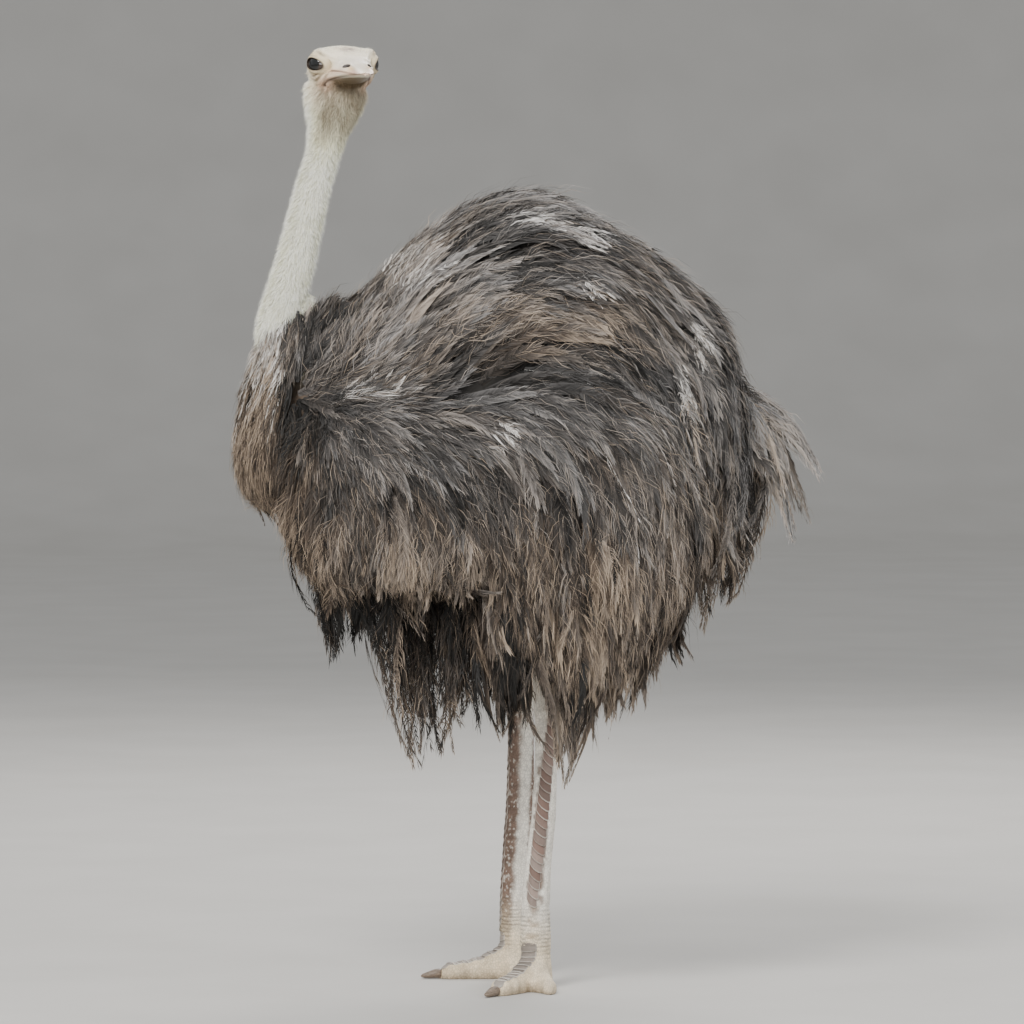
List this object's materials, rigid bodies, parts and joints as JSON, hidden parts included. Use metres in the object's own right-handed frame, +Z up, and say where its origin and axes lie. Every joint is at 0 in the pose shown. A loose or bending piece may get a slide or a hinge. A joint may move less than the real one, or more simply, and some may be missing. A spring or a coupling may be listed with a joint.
{
  "type": "ostrich",
  "caption": "Life-size standing ostrich hen at rest, head turned back over the left shoulder, wings folded low with hanging plumes.",
  "frame": {"origin": "on the ground, under the middle of the whole bird's box", "axes": "+Z up; the chest faces -X and the bird's left side is -Y; the head is turned to face -Y and a little +X"},
  "size_m": [1.1202, 0.7016, 1.7361],
  "materials": {
    "plumage": "loose, frayed grey-brown feathers with paler edges and whitish quills",
    "dark_plumes": "hanging black-brown plumes",
    "breast_down": "thin brown down on the base of the neck",
    "neck_down": "dense creamy white bristles",
    "face": "pale skin with fine white bristles",
    "bill": "satin horn, pinkish along its edges",
    "eye": "wet, dark brown",
    "thigh_skin": "bare matt skin",
    "scaled_skin": "dusty skin with brown-pink scutes down the front",
    "claw": "dull dark horn"
  },
  "bodies": {
    "root": {"bill_upper": "bill", "bill_lower": "bill", "eye_left": "eye", "eye_right": "eye", "head": "face", "neck_upper": "neck_down", "neck_lower": "neck_down", "breast": "breast_down", "trunk": "plumage", "tail": "plumage", "rump_plumes": "dark_plumes", "wing_left": "plumage", "wing_left_drape": "plumage", "wing_left_plumes": "dark_plumes", "wing_right": "plumage", "wing_right_drape": "plumage", "wing_right_plumes": "dark_plumes", "leg_left_thigh": "thigh_skin", "leg_left_shank": "scaled_skin", "foot_left_big_toe": "scaled_skin", "foot_left_outer_toe": "scaled_skin", "foot_left_claw": "claw", "leg_right_thigh": "thigh_skin", "leg_right_shank": "scaled_skin", "foot_right_big_toe": "scaled_skin", "foot_right_outer_toe": "scaled_skin", "foot_right_claw": "claw"}
  },
  "joints": []
}
